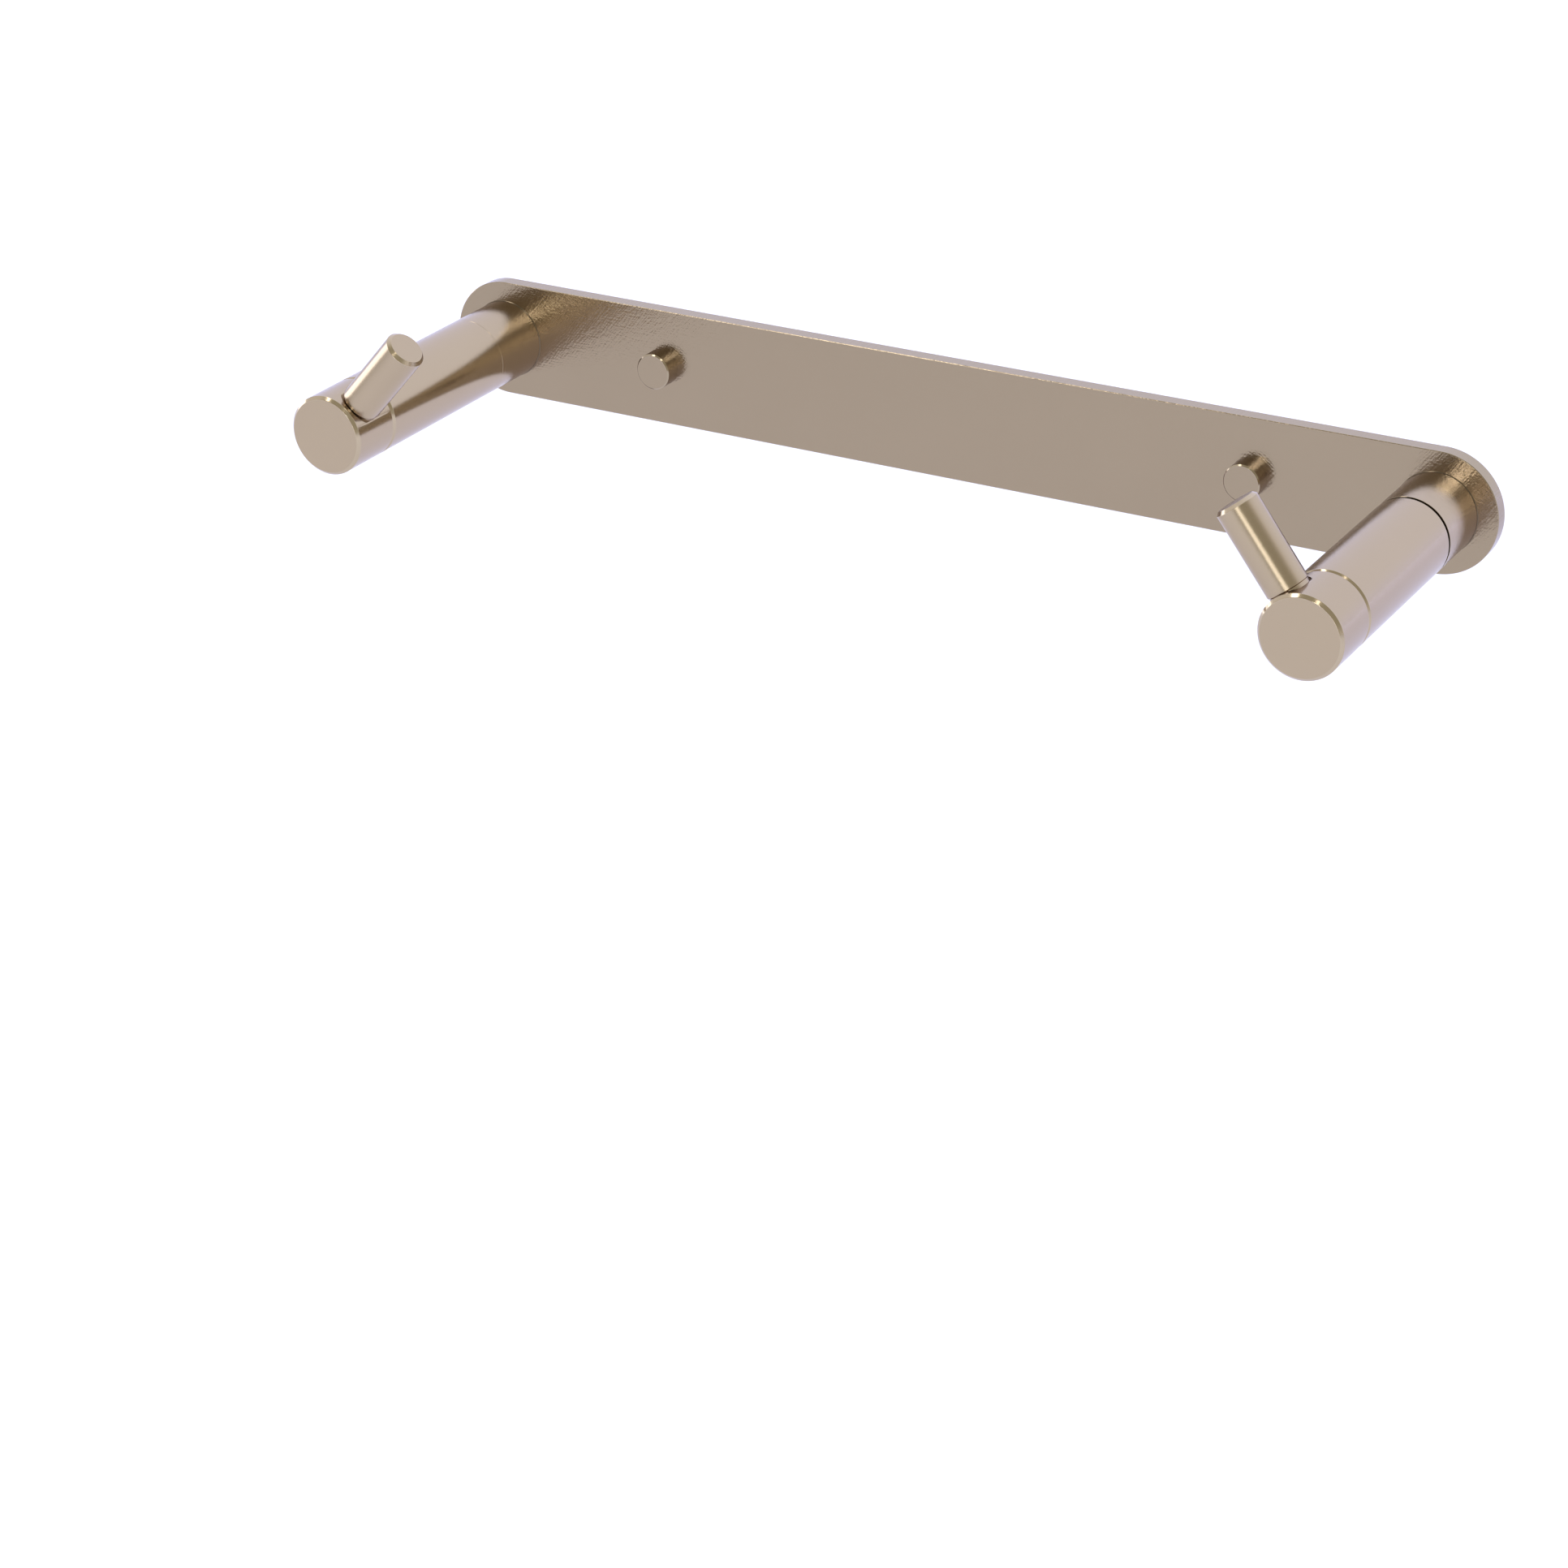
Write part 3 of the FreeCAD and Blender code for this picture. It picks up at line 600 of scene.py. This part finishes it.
# %% [markdown]
# ## Threads and hexagons
#
# Screws and studs hold the posts, heads and pins together. A thread could be a swept profile, but
# as a surface of revolution it is one line: the radius falls by a triangle wave whose phase is
# distance / pitch minus angle / full turn. A hexagon's radius is half its width across flats
# divided by cos of the angle from the nearest flat.

# %% Threaded studs and screws
PITCH = 1.0 * MM
THREAD_DEPTH = 0.5 * MM
ROWS_PER_TURN = 6
THREAD_PLAY = 0.05 * MM
SOCKET_WIDTH, SOCKET_DEPTH, SOCKET_POINT = 4.0 * MM, 2.4 * MM, 0.8 * MM
SCREW_EDGE, SCREW_POINT = 0.2 * MM, 0.5 * MM
THREAD_OVERLAP = 4 * MM
COARSE = np.linspace(0, 2 * np.pi, 48, endpoint=False)


def hexagon(width, angles):
    """Radius of a hexagon: half the width over cos of the angle from the nearest flat."""
    return width / 2 / np.cos((angles + np.pi / 6) % (np.pi / 3) - np.pi / 6)


def thread(start, end, radius):
    """Rows of a thread that fades out over its first and last turn."""
    distance = np.linspace(start, end, int(round((end - start) / PITCH * ROWS_PER_TURN)) + 1)[:, None]
    phase = (distance / PITCH - COARSE / (2 * np.pi)) % 1
    fade = np.clip(np.minimum(distance - start, end - distance) / PITCH, 0, 1)
    fall = radius - THREAD_DEPTH * fade * np.abs(2 * phase - 1)
    return np.stack(np.broadcast_arrays(fall, distance), axis=-1)


def threaded(node, place, *parts):
    """Piece from rows of plain corners and of threads, from one end of the axis to the other."""
    rows = [part if isinstance(part, np.ndarray) else around(len(COARSE), part) for part in parts]
    outline = np.concatenate(rows)
    turned(node, outline, np.zeros(len(outline)), place, False, COARSE)


for side in SIDES:
    top, tip, wide = extent(f"{side}_post_screw", post[side])
    socket = hexagon(SOCKET_WIDTH, COARSE)
    shank = wide / 2
    threaded(
        f"{side}_post_screw", post[side],
        (0, top + SOCKET_DEPTH + SOCKET_POINT), (socket, top + SOCKET_DEPTH),
        (socket, top + SCREW_EDGE), (socket + SCREW_EDGE, top),
        (wide - SCREW_EDGE, top), (wide, top + SCREW_EDGE), (shank, top + wide - shank),
        thread(COLLAR_FRONT - THREAD_OVERLAP, tip - SCREW_POINT, shank),
        (shank - SCREW_POINT, tip), (0, tip),
    )
    tail, nose, wide = extent(f"{side}_pivot_stud", head[side])
    nut_top = extent(f"{side}_pivot_nut", head[side])[1]
    seam = extent(f"{side}_swivel_head", head[side])[0]
    core = THREAD_BORE - THREAD_PLAY
    threaded(
        f"{side}_pivot_stud", head[side],
        (0, tail), (core - EDGE_BREAK, tail), thread(tail + EDGE_BREAK, nut_top, core),
        (wide, nut_top), (wide, seam), thread(seam, nose, core), (0, nose),
    )
    foot, end, wide = extent(f"{side}_pin_stud", pin[side])
    threaded(
        f"{side}_pin_stud", pin[side],
        (0, foot), (wide - EDGE_BREAK, foot), thread(foot + EDGE_BREAK, end - EDGE_BREAK, wide),
        (wide - EDGE_BREAK, end), (0, end),
    )

# %% [markdown]
# ## Lock nuts
#
# The nut at the tail of each pivot stud sets how stiffly the head turns. It could be a six-sided
# prism, but a real nut's corners are cut back by a cone on both faces: at each angle the cone
# takes off the flats' distance past its edge radius, times the slope of the cone.

# %% Nuts
NUT_WIDTH = 10.0 * MM
NUT_EDGE = 4.85 * MM
NUT_SLOPE = math.tan(math.radians(30))

for side in SIDES:
    start, end, _ = extent(f"{side}_pivot_nut", head[side])
    flats = hexagon(NUT_WIDTH, EVEN)
    slope = (flats - NUT_EDGE) * NUT_SLOPE
    outline = around(
        len(EVEN),
        (THREAD_BORE, start), (NUT_EDGE, start), (flats, start + slope),
        (flats, end - slope), (NUT_EDGE, end), (THREAD_BORE, end),
    )
    turned(f"{side}_pivot_nut", outline, np.zeros(len(outline)), head[side], True)

# %% [markdown]
# ## A small language for shaders
#
# A finish is easier to read as arithmetic than as a web of nodes. This class wraps one output
# socket: an expression on values adds its Math nodes, and every other node comes from one method.


# %% The Signal class
class Signal:
    """An output socket of a node tree. With no socket, it only makes nodes in its tree."""

    def __init__(self, tree, socket=None):
        self.tree, self.socket = tree, socket

    def node(self, kind, settings=None, inputs=None, out=0):
        """New node: its settings first, a ramp's stops among them, then values or links."""
        made = self.tree.nodes.new(kind)
        for name, value in (settings or {}).items():
            if name == "stops":
                while len(made.color_ramp.elements) < len(value):
                    made.color_ramp.elements.new(1)
                for stop, (position, colour) in zip(made.color_ramp.elements, value):
                    stop.position, stop.color = position, (*colour, 1)
            else:
                setattr(made, name, value)
        for name, value in (inputs or {}).items():
            if isinstance(value, Signal):
                self.tree.links.new(value.socket, made.inputs[name])
            else:
                made.inputs[name].default_value = value
        return Signal(self.tree, made.outputs[out] if made.outputs else None)

    def math(self, operation, *values):
        """Math node on the given values, in their order."""
        inputs = dict(enumerate(values))
        return self.node("ShaderNodeMath", {"operation": operation}, inputs)

    def __add__(self, other):
        return self.math("ADD", self, other)

    def __radd__(self, other):
        return self.math("ADD", other, self)

    def __sub__(self, other):
        return self.math("SUBTRACT", self, other)

    def __rsub__(self, other):
        return self.math("SUBTRACT", other, self)

    def __mul__(self, other):
        return self.math("MULTIPLY", self, other)

    def __rmul__(self, other):
        return self.math("MULTIPLY", other, self)

    def __pow__(self, other):
        return self.math("POWER", self, other)


def blend(factor, low, high):
    """Colour between low and high."""
    sockets = {0: factor, 6: low, 7: high}
    return factor.node("ShaderNodeMix", {"data_type": "RGBA"}, sockets, out=2)


def noise(vector, scale, detail=2.0, roughness=0.5):
    """Smooth noise from 0 to 1."""
    sockets = {"Vector": vector, "Scale": scale, "Detail": detail, "Roughness": roughness}
    return vector.node("ShaderNodeTexNoise", {}, sockets)


def along(vector, way):
    """How far a vector reaches along a given way, its dot product with it."""
    sockets = {0: vector, 1: way}
    return vector.node("ShaderNodeVectorMath", {"operation": "DOT_PRODUCT"}, sockets, out=1)


def new_material(name):
    """Empty material, and the Signal that makes nodes in it."""
    material = bpy.data.materials.new(name)
    material.use_nodes = True
    material.node_tree.nodes.clear()
    return material, Signal(material.node_tree)


def shade(start, sockets):
    """Principled shader and its output."""
    surface = start.node("ShaderNodeBsdfPrincipled", {}, sockets)
    start.node("ShaderNodeOutputMaterial", {}, {"Surface": surface})


# %% [markdown]
# ## Coordinates that follow the tool
#
# A brush or an abrasive pad leaves fine lines along its path: rings on a turned face, lines round
# a turned side, and on the plate lines that cross, because the pad went over it in more than one
# direction. The noise is stretched along that path. A picture of scratches could be wrapped round
# each piece, but noise has no seam. In the piece's own frame, distance plus radius changes across
# the lines on sides and faces alike.

# %% Stroke coordinates
ALONG_STROKE = 120.0
ACROSS_STROKE = 5000.0
FLAT_ALONG = 330.0
FLAT_ACROSS = 1700.0


def own_frame(start, place):
    """Object coordinates turned and moved into a piece's own frame."""
    back = place.inverted()
    point = start.node("ShaderNodeTexCoord", out=3)
    return start.node("ShaderNodeMapping", {}, {
        "Vector": point, "Location": back.to_translation(), "Rotation": back.to_euler(),
    })


def round_stroke(start, place):
    """Stroke vector of a turned piece: (x, y) slow, distance plus radius fast."""
    local = own_frame(start, place)
    x, y, z = [local.node("ShaderNodeSeparateXYZ", {}, {0: local}, out=i) for i in range(3)]
    radius = (x * x + y * y) ** 0.5
    return start.node("ShaderNodeCombineXYZ", {}, {
        0: x * ALONG_STROKE, 1: y * ALONG_STROKE, 2: (z + radius) * ACROSS_STROKE,
    })


def long_stroke(tilt):
    """Stroke vector of a flat piece: slow along X turned by tilt, fast across it."""
    way = Vector((math.cos(tilt), 0, math.sin(tilt))) * FLAT_ALONG
    cross = Vector((-math.sin(tilt), 0, math.cos(tilt))) * FLAT_ACROSS

    def stroke(start, place):
        local = own_frame(start, place)
        parts = [along(local, direction) for direction in (way, cross)]
        return start.node("ShaderNodeCombineXYZ", {}, dict(enumerate(parts)))
    return stroke


# %% [markdown]
# ## Satin bronze plating
#
# The plating is a warm, greyish bronze, so it is a metal whose reflection colour does the work.
# Three scales give it life: slow clouds in tone where the bath was uneven, fine lines of the
# brush, and a grain of a quarter of a millimetre. Edges that the polishing wheel reached are
# smoother, and their colour is lightened towards gold as a painted highlight. The foot of a joint
# gets a near black painted shadow, and the plate and caps get a painted shade that makes them a
# little darker. One plain colour and roughness would make the same metal look like plastic.

# %% Bronze
BRONZE_DARK = np.array([0.405, 0.320, 0.224])
BRONZE_LIGHT = np.array([0.455, 0.361, 0.256])
PAINTED_EDGE_HIGHLIGHT = np.array([0.54, 0.45, 0.32])
# Colour of the painted shadow at the foot of a joint.
PAINTED_JOINT_SHADOW = np.array([0.13, 0.10, 0.065])
GRAZING_TINT = (0.84, 0.82, 0.90, 1)
CLOUD_SCALE, GRAIN_SCALE = 26.0, 3600.0
CLOUD_TONE, LINE_TONE, GRAIN_TONE = 0.5, 0.25, 0.25
CLOUD_SPREAD, LINE_SPREAD, GRAIN_SPREAD = 0.04, 0.07, 0.06
LINE_HEIGHT, GRAIN_HEIGHT = 0.85, 0.15
EDGE_HIGHLIGHT_SHARE, JOINT_SHADOW_SHARE, EDGE_POLISH = 0.4, 0.9, 0.04


def colour(values):
    """Red, green and blue with full opacity."""
    return (*np.asarray(values, float).tolist(), 1.0)


def satin_bronze(name, place, strokes, roughness, relief, depth=1.0, detail=2.0):
    """Bronze plating; depth under 1 is a painted shade that darkens it, used on the plate and caps.
    """
    material, start = new_material(name)
    fields = [noise(stroke(start, place), 1.0, detail, 0.6) for stroke in strokes]
    lines = sum(fields[1:], fields[0]) * (1 / len(fields))
    point = start.node("ShaderNodeTexCoord", out=3)
    clouds = noise(point, CLOUD_SCALE, 3.0, 0.55)
    grain = noise(point, GRAIN_SCALE, 1.0)
    edge = start.node("ShaderNodeAttribute", {"attribute_name": "edge"}, out=2)
    tone = clouds * CLOUD_TONE + lines * LINE_TONE + grain * GRAIN_TONE
    # depth scales the colour down as a painted shade on the plate and caps.
    flat = blend(tone, colour(BRONZE_DARK * depth), colour(BRONZE_LIGHT * depth))
    # Painted highlight: polished edges are blended towards a lighter gold.
    body = blend(edge * EDGE_HIGHLIGHT_SHARE, flat, colour(PAINTED_EDGE_HIGHLIGHT * depth))
    # Painted shadow: sides at the foot of a joint are blended towards near black.
    body = blend(edge * -JOINT_SHADOW_SHARE, body, colour(PAINTED_JOINT_SHADOW))
    spread = (lines - 0.5) * LINE_SPREAD + (clouds - 0.5) * CLOUD_SPREAD
    spread = spread + (grain - 0.5) * GRAIN_SPREAD
    bump = start.node("ShaderNodeBump", {}, {
        "Strength": 1.0, "Distance": relief * MM,
        "Height": lines * LINE_HEIGHT + grain * GRAIN_HEIGHT,
    })
    shade(start, {
        "Base Color": body, "Metallic": 1.0,
        "Roughness": spread + roughness - edge * EDGE_POLISH,
        "Normal": bump, "Specular Tint": GRAZING_TINT,
    })
    return material


FLAT_STROKES = [long_stroke(0), long_stroke(math.radians(50)), long_stroke(math.radians(-35))]
# depth under 1, 0.79 on the plate and 0.80 on the caps, is a painted shade that darkens them.
finish = {"plate": satin_bronze("bronze_plate", Matrix(), FLAT_STROKES, 0.19, 0.13, 0.79, 0.5)}
for side in SIDES:
    for kind, place, rough, depth in (
        ("post", post, 0.175, 1.0), ("pin", pin, 0.21, 1.0), ("cap", cap, 0.20, 0.80),
    ):
        finish[f"{side}_{kind}"] = satin_bronze(
            f"bronze_{side}_{kind}", place[side], [round_stroke], rough, 0.02, depth)
print(len(finish), "bronze finishes, one for each axis")

# %% [markdown]
# ## Metals and plastics inside
#
# The pieces inside have no bronze plating: they are raw brass, zinc plated steel, a pale bearing
# plastic and black nylon. They could share one grey finish, because little of them shows, but a
# loose piece may also be seen on its own. Each is a blend of two near colours by noise, with a
# fine grain in relief.

# %% Other finishes
GRAIN_RELIEF = 0.03 * MM
BRASS_DARK, BRASS_LIGHT = (0.72, 0.50, 0.24, 1), (0.84, 0.62, 0.32, 1)
ZINC_DARK, ZINC_LIGHT = (0.46, 0.47, 0.49, 1), (0.62, 0.63, 0.64, 1)
ACETAL_DARK, ACETAL_LIGHT = (0.70, 0.67, 0.60, 1), (0.80, 0.77, 0.70, 1)
NYLON_DARK, NYLON_LIGHT = (0.012, 0.011, 0.010, 1), (0.03, 0.028, 0.026, 1)


def fine_relief(start, height, strength):
    """Normal that a grain of a given height field gives."""
    return start.node("ShaderNodeBump", {}, {
        "Strength": strength, "Distance": GRAIN_RELIEF, "Height": height,
    })


def plain_metal(name, dark, light, roughness):
    """Metal with clouds in tone and a fine grain, for the pieces inside."""
    material, start = new_material(name)
    point = start.node("ShaderNodeTexCoord", out=3)
    clouds, grain = noise(point, 90.0, 3.0), noise(point, 2600.0, 2.0)
    shade(start, {
        "Base Color": blend(clouds * 0.7 + grain * 0.3, dark, light), "Metallic": 1.0,
        "Roughness": roughness + (clouds - 0.5) * 0.12,
        "Normal": fine_relief(start, grain, 0.3),
    })
    return material


def plain_plastic(name, dark, light, roughness):
    """Moulded plastic with a faint mottle and a fine texture."""
    material, start = new_material(name)
    point = start.node("ShaderNodeTexCoord", out=3)
    mottle, grain = noise(point, 150.0, 3.0), noise(point, 3500.0, 2.0)
    shade(start, {
        "Base Color": blend(mottle, dark, light),
        "Roughness": roughness + (grain - 0.5) * 0.1,
        "Normal": fine_relief(start, grain, 0.4),
    })
    return material


finish["raw_brass"] = plain_metal("raw_brass", BRASS_DARK, BRASS_LIGHT, 0.28)
finish["steel"] = plain_metal("zinc_steel", ZINC_DARK, ZINC_LIGHT, 0.32)
finish["bush"] = plain_plastic("acetal", ACETAL_DARK, ACETAL_LIGHT, 0.4)
finish["spacer"] = plain_plastic("black_nylon", NYLON_DARK, NYLON_LIGHT, 0.5)
print(len(finish), "finishes in all")

# %% [markdown]
# ## Every piece gets its finish
#
# Turned bronze pieces take the finish of their own axis, so that the brushed lines run round it,
# and the inner pieces that of their slot. One bronze for all would need its lines worked out for
# each piece again, so the choice is made by the kind of piece in a node's name.

# %% Assign the finishes
AXIS_OF = {"base_collar": "post", "post_body": "post", "swivel_head": "post",
           "roll_pin": "pin", "screw_cap": "cap"}

for node, cad in frame["nodes"].items():
    side, _, kind = node.partition("_")
    if node == "back_plate":
        chosen = finish["plate"]
    elif kind in AXIS_OF:
        chosen = finish[f"{side}_{AXIS_OF[kind]}"]
    else:
        chosen = finish[slot_of_node[node]]
    piece = finished.get(node, cad)
    piece.data.materials.clear()
    piece.data.materials.append(chosen)

# %% [markdown]
# ## Floor and world
#
# The holder is shown in a pale studio. The floor lies well below it, so that it is only a soft
# white field to reflect. The sky is a little brighter and cooler overhead: satin metal shows its
# surroundings, and that is what gives the posts their light, slightly lilac upper sides. A darker
# patch above the front is what the metal needs beside its highlights. A painted sky image would
# do the same, but three soft blends by direction need no file.

# %% Studio
FLOOR_DROP, FLOOR_RADIUS = 0.16, 6
ROOM_FRONT, ROOM_DARK = (0.97, 0.97, 0.99, 1), (0.54, 0.52, 0.44, 1)
REAR_LOW, REAR_HIGH = (1.21, 1.27, 1.58, 1), (1.22, 1.28, 1.49, 1)

bpy.ops.mesh.primitive_circle_add(
    vertices=128, radius=FLOOR_RADIUS, fill_type="NGON", location=(0, 0, 0))
floor = bpy.context.object
floor.name = "studio_floor"
floor.location.z = cad_low.z - FLOOR_DROP
material, start = new_material("floor_white")
point = start.node("ShaderNodeTexCoord", out=3)
cast = blend(noise(point, 3.0, 2.0), (0.90, 0.90, 0.90, 1), (0.93, 0.93, 0.93, 1))
shade(start, {"Base Color": cast, "Roughness": 0.9})
floor.data.materials.append(material)

world = bpy.data.worlds.new("studio")
bpy.context.scene.world = world
world.use_nodes = True
world.node_tree.nodes.clear()
sky = Signal(world.node_tree)
direction = sky.node("ShaderNodeTexCoord", out=0)


def facing(way, low, high):
    """From 0 to 1 as a direction turns from low to high towards a given way."""
    share = along(direction, Vector(way).normalized())
    return share.node("ShaderNodeMapRange", {"interpolation_type": "SMOOTHSTEP"}, {
        0: share, 1: low, 2: high, 3: 0.0, 4: 1.0,
    })


rear = blend(facing((0, 0, 1), 0.0, 0.25), REAR_LOW, REAR_HIGH)
room = blend(facing((0, 1, 0), -0.3, 0.7), ROOM_FRONT, rear)
room = blend(facing((0.25, -0.75, 0.6), 0.40, 0.80), room, ROOM_DARK)
background = sky.node("ShaderNodeBackground", {}, {"Color": room, "Strength": 1.0})
sky.node("ShaderNodeOutputWorld", {}, {"Surface": background})
print("the floor lies", round(FLOOR_DROP / MM), "mm under the lowest piece")

# %% [markdown]
# ## Lamps
#
# Soft boxes are rectangles of even light, and on satin metal each one is seen as a bright band
# with a soft edge. They could be placed by trial, but a band shows where a mirror would show the
# box, so each is placed by the direction in which the metal has to see it. Its power is its
# radiance times pi times its area, so a larger box doesn't get dimmer. The last box only lights
# the floor far behind the holder, and the metal doesn't mirror it.

# %% Lamps
RIGHT_SIDE = Vector((0.16, -0.05, 0))
LAMP_DISTANCE = 1.6
FLOOR_BOX_PLACE, FLOOR_BOX_AIM = (0.4, 3.8, 2.0), (0.4, 3.8, 0)


def lamp(name, where, aim, size, radiance, tint, mirrored=True):
    """Soft box of a given radiance that looks from one point at another."""
    light = bpy.data.lights.new(name, "AREA")
    light.shape = "RECTANGLE"
    light.size, light.size_y = size
    light.energy = radiance * math.pi * size[0] * size[1]
    light.color = tint
    box = bpy.data.objects.new(name, light)
    box.location = where
    box.rotation_euler = (Vector(aim) - Vector(where)).to_track_quat("-Z", "Y").to_euler()
    box.visible_glossy = mirrored
    bpy.context.scene.collection.objects.link(box)


def lamp_towards(name, way, size, radiance, tint, middle=Vector()):
    """Soft box that a mirror at the given middle would show in a given direction."""
    lamp(name, middle + Vector(way).normalized() * LAMP_DISTANCE, middle, size, radiance, tint)


lamp_towards("key_box", (0.08, -0.88, 0.47), (0.50, 0.30), 10.0, (0.76, 0.88, 1.0), RIGHT_SIDE)
lamp_towards("front_box", (0.36, -0.93, 0.08), (0.54, 0.50), 2.3, (0.94, 0.98, 1.0), RIGHT_SIDE)
lamp_towards("left_box", (-0.98, -0.08, 0.04), (0.85, 0.60), 2.5, (0.84, 0.89, 1.0))
lamp_towards("top_left_box", (-0.45, -0.38, 0.80), (0.30, 0.30), 5.0, (1.0, 0.99, 0.97))
lamp_towards("top_right_box", (0.24, -0.58, 0.78), (0.22, 0.22), 4.0, (1.0, 0.97, 0.90))
lamp("floor_box", FLOOR_BOX_PLACE, FLOOR_BOX_AIM, (6.0, 6.0), 1.65, (0.50, 0.54, 1.0), False)
print(len(bpy.data.lights), "soft boxes")

# %% [markdown]
# ## Camera
#
# A long lens from the front, to the right and above, looks down on the holder. A constraint
# could aim it at a point, but yaw, pitch and roll say outright where it looks. Forward is
# (sin yaw cos pitch, cos yaw cos pitch, sin pitch), and roll turns the level and upright axes
# about it.

# %% Camera
LENS_MM, SENSOR_MM = 87.445, 36
CAMERA_PLACE = (0.5088, -0.98748, 0.41857)

camera_data = bpy.data.cameras.new("camera")
camera_data.lens = LENS_MM
camera_data.sensor_width = SENSOR_MM
camera = bpy.data.objects.new("camera", camera_data)
bpy.context.scene.collection.objects.link(camera)
yaw, pitch, roll = math.radians(-30.0), math.radians(-26.17), math.radians(-0.69)
forward = Vector((math.sin(yaw) * math.cos(pitch), math.cos(yaw) * math.cos(pitch), math.sin(pitch)))
level = Vector((math.cos(yaw), -math.sin(yaw), 0))
upright = level.cross(forward)
across = level * math.cos(roll) + upright * math.sin(roll)
upward = upright * math.cos(roll) - level * math.sin(roll)
turn = Matrix((across, upward, -forward)).transposed().to_4x4()
camera.matrix_world = Matrix.Translation(CAMERA_PLACE) @ turn
bpy.context.scene.camera = camera
bpy.context.scene.view_settings.view_transform = "Standard"
print("camera is", round(Vector(CAMERA_PLACE).length, 2), "m from the middle of the plate's back")
